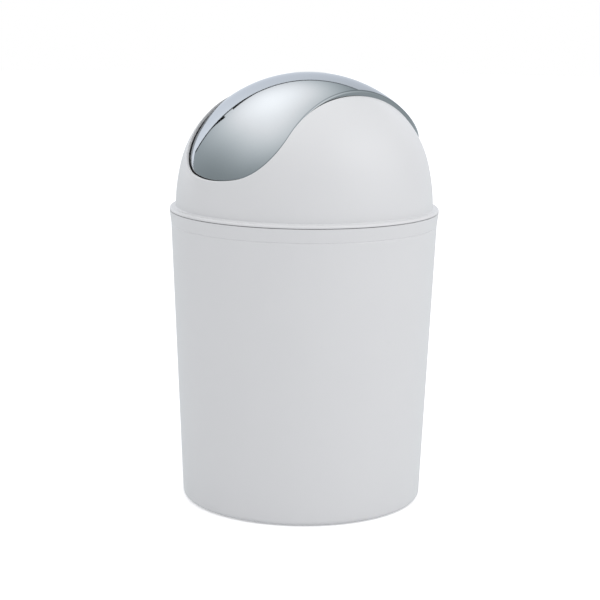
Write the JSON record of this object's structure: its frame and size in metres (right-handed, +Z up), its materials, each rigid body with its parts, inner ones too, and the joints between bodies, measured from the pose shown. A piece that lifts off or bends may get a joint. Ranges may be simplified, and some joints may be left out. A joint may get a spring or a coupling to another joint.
{
  "type": "countertop swing-lid bin",
  "caption": "Small round countertop waste bin: tapered bucket, domed lift-off lid and a curved chrome flap that swings both ways on a weighted pivot.",
  "frame": {"origin": "centre of the bucket's foot ring, on the surface the bin stands on", "axes": "+Z up; the flap's pivot runs along X, so the bin's front is -Y and its rear +Y. The flap is stored hanging 3.6 degrees in at the front."},
  "size_m": [0.1254, 0.1254, 0.2],
  "materials": {
    "body_white": "satin moulded white plastic",
    "cover_chrome": "moulded plastic with mirror chrome plating",
    "liner_white": "satin moulded white plastic",
    "pin_steel": "turned steel",
    "bush_nylon": "natural nylon",
    "weight_steel": "cut steel rod"
  },
  "bodies": {
    "bucket": {"bucket": "body_white"},
    "lid": {"lid_dome": "body_white", "pivot_bush_left": "bush_nylon", "pivot_bush_right": "bush_nylon"},
    "flap": {"flap_cover": "cover_chrome", "flap_liner": "liner_white", "pivot_pin_left": "pin_steel", "pivot_pin_right": "pin_steel", "flap_weight_front": "weight_steel", "flap_weight_rear": "weight_steel"}
  },
  "joints": [
    {"name": "lid_lift", "type": "slide", "parent": "bucket", "child": "lid", "axis": [0, 0, 1], "range_m": [0, 0.08]},
    {"name": "flap_swing", "type": "hinge", "parent": "lid", "child": "flap", "pos_m": [0, 0, 0.185], "axis": [1, 0, 0], "range_deg": [-41.6, 34.4]}
  ]
}
